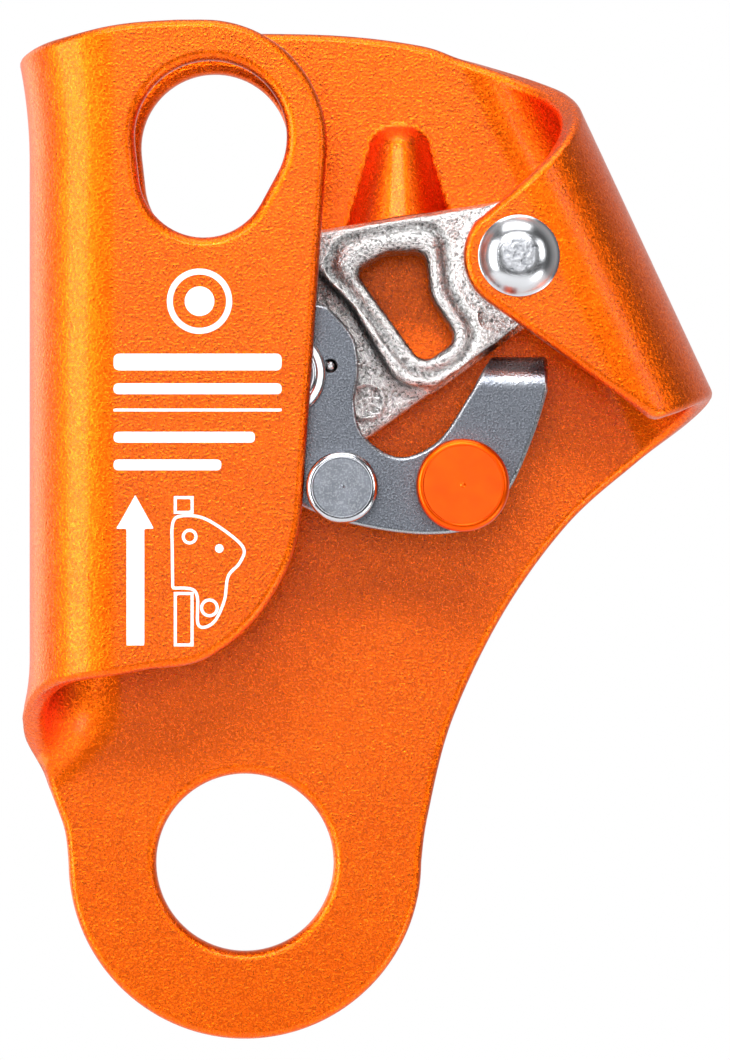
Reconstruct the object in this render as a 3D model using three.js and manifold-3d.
// A small rope clamp (ascender) without a handle, in millimetres.
//
// One pressed aluminium sheet makes the whole frame. Its left side curls forward into a rope
// channel and ends in a flap over the front; its upper right side folds forward into an ear.
// A cast steel cam turns on a rivet between ear and back plate, and a C-shaped release lever
// with two knobs turns on a rivet in the cam.
//
// Frame of reference: +Z is up along the rope, the back plate lies at +Y, and the flap at -Y.
// The origin is on the rope channel's axis, level with the cam's pivot.

import * as THREE from "three";
import { mergeVertices } from "three/addons/utils/BufferGeometryUtils.js";
import Module from "manifold-3d";

const wasm = await Module();
wasm.setup();

// ---- driving dimensions -------------------------------------------------------------------

const SHEET = 2.5; // thickness of the frame's sheet
const GAP = 14.5; // inside the curl and the fold, face to face
const BEND_STEPS = 12; // flat strips in each 180 degree bend
const MID = (GAP + SHEET) / 2; // radius of the bends to the middle of the sheet
const INNER = GAP / 2; // depth of the sheet's inner faces, front and back
const OUTER = INNER + SHEET; // depth of the sheet's outer faces
const HALF_TURN = Math.PI * MID; // length of sheet in one 180 degree bend

const FOLD_TILT = THREE.MathUtils.degToRad(25); // the ear's fold axis leans left by this much
const FOLD_AXIS = 39.3; // distance of the fold axis from the origin
const PIVOT = [40.3, 0]; // cam pivot, x and z
const LEVER_PIVOT = [16.2, -11.8];
const STOP_KNOB = [22.4, -23.4];
const THUMB_BUTTON = [34.6, -23.2];
const SPRING_HOLE = [21.2, -11.0]; // the lever spring's leg comes through the lever here

const EYE = { x: 12.2, z: -62.4, hole: 9.25, outer: 18.4 };
const EGG_TOP = { x: 9.1, z: 12.1, r: 7.7 }; // the upper hole is the hull of two circles
const EGG_LOW = { x: 8.4, z: 8.5, r: 6.6 };

const RIVET_R = 2.5; // shank of the cam rivet
const RIVET_HOLE = 2.7; // in ear and back plate, just short of the fold
const LEVER_RIVET_R = 2.2;
const CLEAR = 0.3; // running gap between separate pieces
const SEAT = 0.1; // gap under a head that is clamped down

const CAM_FRONT = -5.8; // raised block round the window
const CAM_FLOOR = -2.0; // recess that the lever moves over
const CAM_BACK = 5.6;
const CAM_BOSS_R = 6.0;
const NOSE_HALF = 4.8; // half the width of the toothed nose
const NOSE_FROM = 40.5; // the nose starts this far from the pivot
const FACE_R = 46.0; // pivot to tooth face where it meets the rope
const FACE_ANGLE = 14; // degrees below the pivot's level of that point
const CAM_TOP_TILT = 9; // degrees that the cam's top edge rises towards the pivot
const CAM_TOP_LENGTH = 40.5; // from the boss to where the nose starts
const LEVER_FRONT = -5.0;
const LEVER_THICK = 1.8;
const LEVER_BACK = LEVER_FRONT + LEVER_THICK;
const LEVER_RIGHT = 43.4; // the arm's right side, x
const TAB_BEND = -13.3; // height of the line where the lever's tab bends back
const TAB_LEFT = 35.7; // the tab's left side at the bend, x
const TAB_INNER = 1.5; // inside radius of that bend
const TAB_END = 1.2; // depth that the tab reaches back to
const KNOB_SPIGOT = 1.6; // radius of the stop knob's spigot, peened behind the lever
const THUMB_SPIGOT = 2;
const WIRE_R = 0.4; // wire of both springs
const CAM_BUSH = { inner: RIVET_R + CLEAR, outer: RIVET_R + 1 };
const CAM_SPRING = { pocket: 5.2, depth: 2.8, radius: 4.5, turns: 2 };
const LEVER_SPRING = { pocket: 5.6, depth: 2.2, radius: 4.6, turns: 2 };

const BUMP = { x: 28.3, top: 14.4, wall: 1.9, shearZ: 4.6, shearTilt: 9 }; // stop bump on the back plate
const CURL_OUT = { from: 46, to: 58, reach: 8.5 }; // the curl runs out between these depths below the origin

// ---- outlines -----------------------------------------------------------------------------

const radians = THREE.MathUtils.degToRad;

/** Points of an arc, angles in degrees, both ends included. */
function arc(x, y, radius, from, to, steps) {
  return Array.from({ length: steps + 1 }, (_, i) => {
    const a = radians(from + ((to - from) * i) / steps);
    return [x + radius * Math.cos(a), y + radius * Math.sin(a)];
  });
}

/** Points of a whole circle. */
const circle = (x, y, radius, steps) => arc(x, y, radius, 0, 360, steps).slice(0, -1);

/** Points of a smooth curve through a few chosen points, both ends included. */
function smooth(points, steps) {
  const curve = new THREE.SplineCurve(points.map(([x, y]) => new THREE.Vector2(x, y)));
  return curve.getPoints(steps).map((p) => [p.x, p.y]);
}

/** A chain of [x, y, radius] corners with its corners rounded; closed joins last to first. */
function rounded(corners, closed = true, steps = 6) {
  const count = corners.length;
  return corners.flatMap(([x, y, radius], i) => {
    if (!radius || (!closed && (i === 0 || i === count - 1))) return [[x, y]];
    const at = new THREE.Vector2(x, y);
    const before = new THREE.Vector2(...corners[(i + count - 1) % count]).sub(at).normalize();
    const after = new THREE.Vector2(...corners[(i + 1) % count]).sub(at).normalize();
    const half = Math.acos(before.dot(after)) / 2;
    const centre = before.clone().add(after).normalize().multiplyScalar(radius / Math.sin(half)).add(at);
    const start = before.multiplyScalar(radius / Math.tan(half)).add(at).sub(centre);
    const end = after.multiplyScalar(radius / Math.tan(half)).add(at).sub(centre);
    const turn = Math.atan2(start.cross(end), start.dot(end));
    return Array.from({ length: steps + 1 }, (_, k) => {
      const p = start.clone().rotateAround(new THREE.Vector2(), (turn * k) / steps).add(centre);
      return [p.x, p.y];
    });
  });
}

/** The upper hole: the hull of two circles whose centres are close together. */
function eggHole() {
  const dx = EGG_LOW.x - EGG_TOP.x;
  const dz = EGG_LOW.z - EGG_TOP.z;
  const down = THREE.MathUtils.radToDeg(Math.atan2(dz, dx));
  const reach = THREE.MathUtils.radToDeg(Math.acos((EGG_TOP.r - EGG_LOW.r) / Math.hypot(dx, dz)));
  return [
    ...arc(EGG_TOP.x, EGG_TOP.z, EGG_TOP.r, down + reach, down - reach + 360, 18),
    ...arc(EGG_LOW.x, EGG_LOW.z, EGG_LOW.r, down - reach, down + reach, 10),
  ];
}

// ---- solids -------------------------------------------------------------------------------

/** An outline in the x-z plane, extruded from depth y0 back to y1. */
function plate(outline, y0, y1) {
  const points = outline.map(([x, z]) => new THREE.Vector2(x, z));
  const geometry = new THREE.ExtrudeGeometry(new THREE.Shape(points), {
    depth: y1 - y0,
    bevelEnabled: false,
    curveSegments: 1,
  });
  return geometry.rotateX(Math.PI / 2).translate(0, y1, 0);
}

/** A turned piece: [radius, y] profile about a line along Y through [x, z]. */
function turned(profile, [x, z], steps = 28) {
  const points = profile.map(([r, y]) => new THREE.Vector2(r, y));
  return new THREE.LatheGeometry(points, steps).translate(x, 0, z);
}

/** Vertices shared and nothing but positions, as the boolean library wants them. */
function welded(geometry) {
  const bare = new THREE.BufferGeometry();
  bare.setAttribute("position", geometry.getAttribute("position").clone());
  if (geometry.index) bare.setIndex(geometry.index.clone());
  return mergeVertices(bare, 1e-4);
}

function toSolid(geometry) {
  const mesh = welded(geometry);
  const vertProperties = new Float32Array(mesh.getAttribute("position").array);
  const triVerts = new Uint32Array(mesh.index.array);
  return new wasm.Manifold(new wasm.Mesh({ numProp: 3, vertProperties, triVerts }));
}

function toGeometry(solid) {
  const mesh = solid.getMesh();
  const geometry = new THREE.BufferGeometry();
  geometry.setAttribute("position", new THREE.BufferAttribute(mesh.vertProperties, 3));
  geometry.setIndex(new THREE.BufferAttribute(mesh.triVerts, 1));
  return geometry;
}

/** A round cutter along Y through [x, z]. */
const drill = ([x, z], radius, y0, y1) => toSolid(plate(circle(x, z, radius, 24), y0, y1));

/** A wire of round section along a list of points. */
function wire(points, radius, steps) {
  const path = new THREE.CatmullRomCurve3(points.map((p) => new THREE.Vector3(...p)));
  const section = new THREE.Shape(circle(0, 0, radius, 6).map(([x, y]) => new THREE.Vector2(x, y)));
  return new THREE.ExtrudeGeometry(section, { steps, extrudePath: path, bevelEnabled: false });
}

// ---- frame --------------------------------------------------------------------------------

const onFlap = ([x, z]) => [-HALF_TURN - x, z]; // from its place on the flap to the flat sheet

/** From the fold's own axes (distance along its normal, distance up it) to the flat sheet. */
const onFold = ([w, s]) => [
  w * Math.cos(FOLD_TILT) - s * Math.sin(FOLD_TILT),
  w * Math.sin(FOLD_TILT) + s * Math.cos(FOLD_TILT),
];

/** From its place on the ear to the flat sheet. */
function onEar([x, z]) {
  const w = x * Math.cos(FOLD_TILT) + z * Math.sin(FOLD_TILT);
  const s = -x * Math.sin(FOLD_TILT) + z * Math.cos(FOLD_TILT);
  return onFold([2 * FOLD_AXIS + HALF_TURN - w, s]);
}

/** The flat sheet's outline, clockwise from the flap's lower edge. */
function blankOutline() {
  const lowerCorner = smooth(
    [
      [3, -41.8], [7.1, -41.4], [9.7, -40.1], [11.9, -38.5], [14.1, -36.2], [16, -33.3], [17.3, -30.5],
      [18.2, -26.8], [18.6, -22],
    ],
    16,
  );
  const upperCorner = rounded([[18.6, -22, 0], [21.8, 24, 12.5], [5.5, 23.95, 0]], false).slice(1);
  const flapEdge = [...lowerCorner, ...upperCorner].map(onFlap);
  const topEdge = smooth(
    [
      onFlap([5.5, 23.95]), [-26.7, 23.5], [-20.9, 22.1], [-13.35, 20.7], [-5.8, 22.1], [0, 23.5],
      [8, 24], [21.1, 23.9], [30.4, 22.8], onFold([41, 4.3]), onFold([48.7, -2.1]),
      onFold([60.1, -8.5]), onFold([70.6, -11.9]),
    ],
    36,
  ).slice(1);
  const [earX, earZ] = onEar(PIVOT);
  const tilt = THREE.MathUtils.radToDeg(FOLD_TILT);
  const earTip = arc(earX, earZ, 5.6, 71 + tilt, tilt - 30, 9).slice(1);
  const foldEdge = rounded([[73.7, -19.9, 0], [63.3, -37.9, 1.5], [60, -38.2, 0]], false, 4).slice(1);
  const neck = smooth(
    [
      onFold([60, -38.2]), onFold([52.6, -38.5]), onFold([45.3, -39.9]), onFold([38.9, -41.3]),
      [45.8, -27.2], [39.1, -36.5], [33.8, -47.6], [31.3, -57.4], [EYE.x + EYE.outer, EYE.z],
    ],
    28,
  ).slice(1);
  const eye = arc(EYE.x, EYE.z, EYE.outer, 0, -180, 30).slice(1);
  const lowerLeft = smooth(
    [
      [EYE.x - EYE.outer, EYE.z], [-6.6, -59], [-7.9, -55.3], [-8.6, -52.4], [-10.1, -50],
      [-13.35, -46.8], [-19.8, -43.6], [-26.5, -42.4], onFlap([3, -41.8]),
    ],
    20,
  ).slice(1, -1);
  return [...flapEdge, ...topEdge, ...earTip, ...foldEdge.map(onFold), ...neck, ...eye, ...lowerLeft];
}

/** Where the curl starts: it runs out towards the eye, which stays flat. */
const curlStart = (z) => -CURL_OUT.reach * THREE.MathUtils.smoothstep(-z, CURL_OUT.from, CURL_OUT.to);

/** How far the curl's two mouths flare outwards. */
function flare(z) {
  const top = Math.max(0, (z - 10) / 11);
  const bottom = Math.min(1, Math.max(0, (-41 - z) / 6));
  return 1.2 * top * top + 0.9 * bottom * bottom;
}

/** A half-turn bend: distance along the sheet from its start, to reach across and depth. */
function roll(distance, radius) {
  if (distance > HALF_TURN) return [HALF_TURN - distance, -radius];
  const angle = distance / MID;
  return [radius * Math.sin(angle), radius * Math.cos(angle)];
}

/** Moves a point of the flat sheet, inward from its middle surface, to its place. */
function bend(x, inward, z) {
  const radius = MID - inward;
  const w = x * Math.cos(FOLD_TILT) + z * Math.sin(FOLD_TILT);
  if (w > FOLD_AXIS) {
    const s = -x * Math.sin(FOLD_TILT) + z * Math.cos(FOLD_TILT);
    const [reach, y] = roll(w - FOLD_AXIS, radius);
    const [px, pz] = onFold([FOLD_AXIS + reach, s]);
    return [px, y, pz];
  }
  const start = curlStart(z);
  if (x < start) {
    const [reach, y] = roll(start - x, radius);
    const side = Math.sin(Math.min(Math.PI, (start - x) / MID));
    return [start - reach - flare(z) * side, y, z];
  }
  return [x, radius, z];
}

/** Lines a x + b z = c that cut the flat sheet into the strips it bends by, flap side first. */
function stripLines() {
  const steps = Array.from({ length: BEND_STEPS + 1 }, (_, i) => (HALF_TURN * i) / BEND_STEPS);
  return [
    ...steps.map((along) => [1, 0, along - HALF_TURN]),
    ...steps.map((along) => [Math.cos(FOLD_TILT), Math.sin(FOLD_TILT), FOLD_AXIS + along]),
  ];
}

/** Signed distance of a point [x, z] from a line, exactly zero when it lies on it. */
function offLine([a, b, c], [x, z]) {
  const d = a * x + b * z - c;
  return Math.abs(d) < 1e-6 ? 0 : d;
}

/** A loop with an extra point wherever one of the lines crosses it. */
function withCrossings(loop, lines) {
  return loop.flatMap((p, i) => {
    const q = loop[(i + 1) % loop.length];
    const shares = lines
      .map((line) => [offLine(line, p), offLine(line, q)])
      .filter(([dp, dq]) => dp * dq < 0)
      .map(([dp, dq]) => dp / (dp - dq))
      .sort((m, n) => m - n);
    return [p, ...shares.map((t) => [p[0] + (q[0] - p[0]) * t, p[1] + (q[1] - p[1]) * t])];
  });
}

/** Triangles of one flat strip with the holes that lie in it, as [x, z] corners. */
function stripTriangles(outline, holes) {
  const toVectors = (loop) => loop.map(([x, z]) => new THREE.Vector2(x, z));
  const corners = [outline, ...holes].flat();
  return THREE.ShapeUtils.triangulateShape(toVectors(outline), holes.map(toVectors)).map((face) => {
    const triangle = face.map((i) => corners[i]);
    return THREE.ShapeUtils.area(toVectors(triangle)) < 0 ? triangle.reverse() : triangle;
  });
}

/** Splits the triangles that cross a height, so that the curl can flare and run out there. */
function splitAtHeight(triangles, height) {
  const crossing = (p, q) => {
    const [low, high] = p[2] < q[2] ? [p, q] : [q, p];
    const t = (height - low[2]) / (high[2] - low[2]);
    return [low[0] + (high[0] - low[0]) * t, low[1] + (high[1] - low[1]) * t, height];
  };
  return triangles.flatMap((triangle) => {
    const sides = triangle.map((p) => Math.sign(p[2] - height));
    if (!sides.includes(1) || !sides.includes(-1)) return [triangle];
    const middle = sides.indexOf(0);
    const alone = sides.findIndex((side) => sides.filter((other) => other === side).length === 1);
    const i = middle >= 0 ? middle : alone;
    const [p, q, r] = [triangle[i], triangle[(i + 1) % 3], triangle[(i + 2) % 3]];
    if (middle >= 0) {
      const m = crossing(q, r);
      return [[p, q, m], [p, m, r]];
    }
    const m = crossing(p, q);
    const n = crossing(p, r);
    return [[p, m, n], [m, q, r], [m, r, n]];
  });
}

/** The bent sheet with its holes, before the stop bump is pressed. */
function bentSheet() {
  const lines = stripLines();
  const egg = eggHole();
  const pivotHole = circle(...PIVOT, RIVET_HOLE, 20);
  const holes = [circle(EYE.x, EYE.z, EYE.hole, 36), egg, egg.map(onFlap), pivotHole, pivotHole.map(onEar)];
  const outward = (loop, clockwise) =>
    THREE.ShapeUtils.isClockWise(loop.map(([x, z]) => new THREE.Vector2(x, z))) === clockwise
      ? loop
      : [...loop].reverse();
  const outline = outward(withCrossings(blankOutline(), lines), true);
  const loops = [outline, ...holes.map((hole) => outward(hole, false))];
  const at = ([x, z], inward) => [x, inward, z];
  const half = SHEET / 2;

  const walls = loops.flatMap((loop) => loop.flatMap((p, i) => {
    const q = loop[(i + 1) % loop.length];
    return [[at(p, half), at(q, half), at(q, -half)], [at(p, half), at(q, -half), at(p, -half)]];
  }));
  const faces = Array.from({ length: lines.length + 1 }, (_, k) => {
    const inStrip = (p) =>
      (k === 0 || offLine(lines[k - 1], p) >= 0) && (k === lines.length || offLine(lines[k], p) <= 0);
    return stripTriangles(outline.filter(inStrip), holes.filter((hole) => inStrip(hole[0])));
  }).flat().flatMap(([p, q, r]) => [
    [at(p, half), at(q, half), at(r, half)],
    [at(p, -half), at(r, -half), at(q, -half)],
  ]);

  let triangles = [...walls, ...faces];
  for (const height of [16, 10, -42, -46, -50, -54]) {
    triangles = splitAtHeight(triangles, height);
  }
  const geometry = new THREE.BufferGeometry();
  const positions = triangles.flat().flatMap(([x, inward, z]) => bend(x, inward, z));
  geometry.setAttribute("position", new THREE.Float32BufferAttribute(positions, 3));
  return geometry;
}

/** The stop bump's round-nosed taper, standing up from the back plate's inner face. */
function bumpTaper(inset) {
  const foot = BUMP.shearZ - 1.6;
  const profile = [
    [0, BUMP.top - inset], [1.5 - inset / 2, BUMP.top - 0.4 - inset], [2.6 - inset, BUMP.top - 1.3 - inset],
    [3.2 - inset, BUMP.top - 2.6 - inset], [5.6 - inset, foot], [0, foot],
  ];
  const points = profile.map(([r, z]) => new THREE.Vector2(Math.max(0, r), z)).reverse();
  return new THREE.LatheGeometry(points, 24).rotateX(Math.PI / 2).translate(BUMP.x, INNER + CLEAR, 0);
}

/** Everything below the slanted line along which the bump is sheared open. */
function belowShear(drop) {
  const slab = new THREE.BoxGeometry(30, 30, 10).translate(0, 0, -5);
  return toSolid(slab.rotateY(radians(-BUMP.shearTilt)).translate(BUMP.x, 0, BUMP.shearZ - drop));
}

function frameGeometry() {
  const inFront = toSolid(new THREE.BoxGeometry(20, 10, 20).translate(BUMP.x, MID - 5, 9));
  const skin = toSolid(bumpTaper(0)).intersect(inFront).subtract(belowShear(0));
  const hollow = toSolid(bumpTaper(BUMP.wall)).subtract(belowShear(0.6));
  return toGeometry(toSolid(bentSheet()).add(skin).subtract(hollow));
}

// ---- cam ----------------------------------------------------------------------------------

/** A point of the tooth face: a logarithmic spiral about the pivot, degrees below its level. */
function facePoint(below) {
  const grip = Math.tan(radians(FACE_ANGLE));
  const radius = FACE_R * Math.exp(grip * radians(below - FACE_ANGLE));
  return [PIVOT[0] - radius * Math.cos(radians(below)), PIVOT[1] - radius * Math.sin(radians(below))];
}

function camGeometry() {
  const [px, pz] = PIVOT;
  const underTilt = 35.4; // degrees that the underside rises towards the pivot
  const boss = arc(px, pz, CAM_BOSS_R, 90 + CAM_TOP_TILT, underTilt - 90, 16);
  const topLeft = [
    boss[0][0] - CAM_TOP_LENGTH * Math.cos(radians(CAM_TOP_TILT)),
    boss[0][1] - CAM_TOP_LENGTH * Math.sin(radians(CAM_TOP_TILT)),
  ];
  const body = [
    ...boss,
    ...rounded(
      [[43, -5.4, 0], [24.9, -18.4, 6], [14, -25.2, 6], [4, -24.6, 2], [0.6, -12, 0]],
      false,
    ).slice(1),
    topLeft,
  ];
  const noseFace = Array.from({ length: 13 }, (_, i) => facePoint(1.1 + (27 * i) / 12));
  const nose = [...noseFace, ...arc(px, pz, NOSE_FROM, 211, 180.2, 10)];
  const block = rounded([
    [16, 2, 0], [px - 0.5, 5.8, 0], [px + 3, -4.9, 0], [31.8, -13.2, 1], [28.2, -13, 3],
    [23.4, -4.9, 5], [19, -0.4, 1],
  ], true, 4);
  const window = rounded([
    [23.7, -1.3, 1], [27, 0.6, 2], [30.9, 0.7, 1.4], [31.4, -3.9, 4], [34.2, -8.3, 1.4], [30.6, -10.8, 1.4],
  ], true, 4);
  const solid = toSolid(plate(body, CAM_FLOOR, CAM_BACK))
    .add(toSolid(plate(nose, -NOSE_HALF, NOSE_HALF)))
    .add(toSolid(plate(block, CAM_FRONT, 0)))
    .add(drill(PIVOT, CAM_BOSS_R, -CAM_BACK, CAM_BACK));
  return toGeometry(
    solid
      .subtract(toSolid(plate(window, -10, 10)))
      .subtract(drill(PIVOT, CAM_BUSH.outer + CLEAR, -10, 10))
      .subtract(drill(PIVOT, CAM_SPRING.pocket, CAM_BACK - CAM_SPRING.depth, 10))
      .subtract(drill(LEVER_PIVOT, LEVER_RIVET_R + CLEAR, -10, 10))
      .subtract(drill(LEVER_PIVOT, LEVER_SPRING.pocket, CAM_FLOOR - 1, CAM_FLOOR + LEVER_SPRING.depth)),
  );
}

// ---- release lever ------------------------------------------------------------------------

function leverOutline() {
  const [lx, lz] = LEVER_PIVOT;
  return [
    ...smooth([[20.9, -4.9], [23.5, -8], [24.1, -11.5], [23.7, -14.8], [24.6, -18.1], [28.2, -20.3],
      [32.2, -18.6], [35.3, -14.1], [36.6, -11.6]], 20),
    [LEVER_RIGHT, -11.6],
    ...smooth([[LEVER_RIGHT, -13.4], [42, -17.9], [39.6, -23.4], [36.6, -27.2], [31, -28.2], [24.1, -27.3],
      [18.5, -25.4], [12.8, -21.4], [8.9, -18.3]], 18),
    ...arc(lx - 1.1, lz - 0.4, 8.7, 222, 62, 12),
  ];
}

/** The lever's tab: the top of the arm, bent back through a quarter turn. */
function tabGeometry() {
  const outer = TAB_INNER + LEVER_THICK;
  const centre = LEVER_BACK + TAB_INNER;
  const profile = [
    ...arc(centre, TAB_BEND, TAB_INNER, 180, 90, 5),
    [TAB_END, TAB_BEND + TAB_INNER], [TAB_END, TAB_BEND + outer],
    ...arc(centre, TAB_BEND, outer, 90, 180, 7),
  ].map(([y, z]) => new THREE.Vector2(y, z));
  const depth = LEVER_RIGHT - TAB_LEFT;
  const tab = new THREE.ExtrudeGeometry(new THREE.Shape(profile), { depth, bevelEnabled: false });
  const axes = [new THREE.Vector3(0, 1, 0), new THREE.Vector3(0, 0, 1), new THREE.Vector3(1, 0, 0)];
  return tab.applyMatrix4(new THREE.Matrix4().makeBasis(...axes)).translate(TAB_LEFT, 0, 0);
}

function leverGeometry() {
  const flat = toSolid(plate(leverOutline(), LEVER_FRONT, LEVER_BACK));
  const above = toSolid(new THREE.BoxGeometry(9, 10, 6).translate(40.5, LEVER_FRONT, TAB_BEND + 3));
  const slant = [[34, TAB_BEND], [TAB_LEFT, TAB_BEND], [36.9, -11.2], [38, -9.5], [34, -9.5]];
  const through = (at, radius) => drill(at, radius, LEVER_FRONT - 1, LEVER_BACK + 1);
  return toGeometry(
    flat
      .subtract(above)
      .add(toSolid(tabGeometry()))
      .subtract(toSolid(plate(slant, LEVER_FRONT - 1, TAB_END + 1)))
      .subtract(through(LEVER_PIVOT, LEVER_RIVET_R + CLEAR))
      .subtract(through(SPRING_HOLE, WIRE_R + CLEAR))
      .subtract(through(STOP_KNOB, KNOB_SPIGOT + CLEAR))
      .subtract(through(THUMB_BUTTON, THUMB_SPIGOT + CLEAR)),
  );
}

/** A knob with a spigot that is peened over behind the lever: profile from front to back. */
function knobGeometry(at, radius, front, spigot) {
  return turned([
    [0, front], [radius - 0.8, front], [radius - 0.2, front + 0.3], [radius, front + 0.9],
    [radius, LEVER_FRONT - SEAT], [spigot, LEVER_FRONT - SEAT], [spigot, LEVER_BACK + SEAT],
    [spigot + 0.5, LEVER_BACK + SEAT], [spigot + 0.3, LEVER_BACK + 0.7], [0, LEVER_BACK + 0.8],
  ], at);
}

// ---- rivets, bush, washers and springs ----------------------------------------------------

/** Domed head in front of the ear, shank, and a low head behind the back plate. */
function camRivetGeometry() {
  const head = 4.15;
  return turned([
    [0, -OUTER - 1.9], [1.8, -OUTER - 1.8], [3.1, -OUTER - 1.3], [head, -OUTER - SEAT],
    [RIVET_R, -OUTER - SEAT], [RIVET_R, OUTER + SEAT], [head, OUTER + SEAT],
    [3.1, OUTER + 0.9], [0, OUTER + 1.1],
  ], PIVOT);
}

function leverRivetGeometry() {
  const head = 4.7;
  return turned([
    [0, -6.7], [3.6, -6.7], [3.7, -6.5], [head - 0.4, -6.4], [head, -6.1], [head, LEVER_FRONT - SEAT],
    [LEVER_RIVET_R, LEVER_FRONT - SEAT], [LEVER_RIVET_R, CAM_BACK + SEAT],
    [3.2, CAM_BACK + SEAT], [2.8, CAM_BACK + 0.9], [0, CAM_BACK + 1.1],
  ], LEVER_PIVOT);
}

/** A plain ring about the cam's pivot. */
function ring(inner, outer, y0, y1) {
  return turned([[outer, y0], [outer, y1], [inner, y1], [inner, y0], [outer, y0]], PIVOT);
}

/** A torsion spring's coil about [x, z], from depth y0 to y1, ending at the given angle. */
function coil([x, z], { radius, turns }, y0, y1, endAngle) {
  const perTurn = 12;
  return Array.from({ length: turns * perTurn + 1 }, (_, i) => {
    const a = radians(endAngle) - (2 * Math.PI * (turns * perTurn - i)) / perTurn;
    const share = i / (turns * perTurn);
    return [x + radius * Math.cos(a), y0 + (y1 - y0) * share, z + radius * Math.sin(a)];
  });
}

function camSpringGeometry() {
  const y0 = CAM_BACK - CAM_SPRING.depth + WIRE_R + 0.2;
  const y1 = CAM_BACK - WIRE_R - 0.1;
  return wire(coil(PIVOT, CAM_SPRING, y0, y1, 40), WIRE_R, 30);
}

function leverSpringGeometry() {
  const deep = CAM_FLOOR + LEVER_SPRING.depth - WIRE_R - 0.2;
  const shallow = CAM_FLOOR - 0.1;
  const [hx, hz] = SPRING_HOLE;
  const [lx, lz] = LEVER_PIVOT;
  const angle = THREE.MathUtils.radToDeg(Math.atan2(hz - lz, hx - lx));
  const turns = coil(LEVER_PIVOT, LEVER_SPRING, deep, shallow, angle - 30);
  return wire([...turns, [hx, shallow - 0.9, hz], [hx, LEVER_FRONT - 0.3, hz]], WIRE_R, 34);
}

// ---- the assembly -------------------------------------------------------------------------

const anodised = (color) => ({ color, roughness: 0.42, metalness: 0.75 });
const FINISH = {
  frame: anodised(0xe5701c),
  button: { color: 0xe8641a, roughness: 0.22, metalness: 0.8 },
  castSteel: { color: 0xb9b6b0, roughness: 0.38, metalness: 1 },
  stampedSteel: { color: 0x8f9499, roughness: 0.36, metalness: 1 },
  brightSteel: { color: 0xc9ccce, roughness: 0.2, metalness: 1 },
  springSteel: { color: 0x9a9c9e, roughness: 0.3, metalness: 1 },
  bronze: { color: 0x9c7a45, roughness: 0.4, metalness: 1 },
};

const assembly = new THREE.Group();

function addPart(name, geometry, finish) {
  const mesh = new THREE.Mesh(welded(geometry), new THREE.MeshStandardMaterial(finish));
  mesh.name = name;
  assembly.add(mesh);
}

const WASHER = { inner: RIVET_R + CLEAR, outer: 4.2, near: CAM_BACK + CLEAR, far: INNER - CLEAR };

addPart("frame", frameGeometry(), FINISH.frame);
addPart("cam", camGeometry(), FINISH.castSteel);
addPart("cam_rivet", camRivetGeometry(), FINISH.brightSteel);
addPart("cam_bush", ring(CAM_BUSH.inner, CAM_BUSH.outer, -CAM_BACK, CAM_BACK), FINISH.bronze);
addPart("front_washer", ring(WASHER.inner, WASHER.outer, -WASHER.far, -WASHER.near), FINISH.springSteel);
addPart("rear_washer", ring(WASHER.inner, WASHER.outer, WASHER.near, WASHER.far), FINISH.springSteel);
addPart("cam_spring", camSpringGeometry(), FINISH.springSteel);
addPart("release_lever", leverGeometry(), FINISH.stampedSteel);
addPart("lever_rivet", leverRivetGeometry(), FINISH.brightSteel);
addPart("lever_spring", leverSpringGeometry(), FINISH.springSteel);
addPart("stop_knob", knobGeometry(STOP_KNOB, 3.65, -10.4, KNOB_SPIGOT), FINISH.brightSteel);
addPart("thumb_button", knobGeometry(THUMB_BUTTON, 4.7, -12, THUMB_SPIGOT), FINISH.button);

export default assembly;
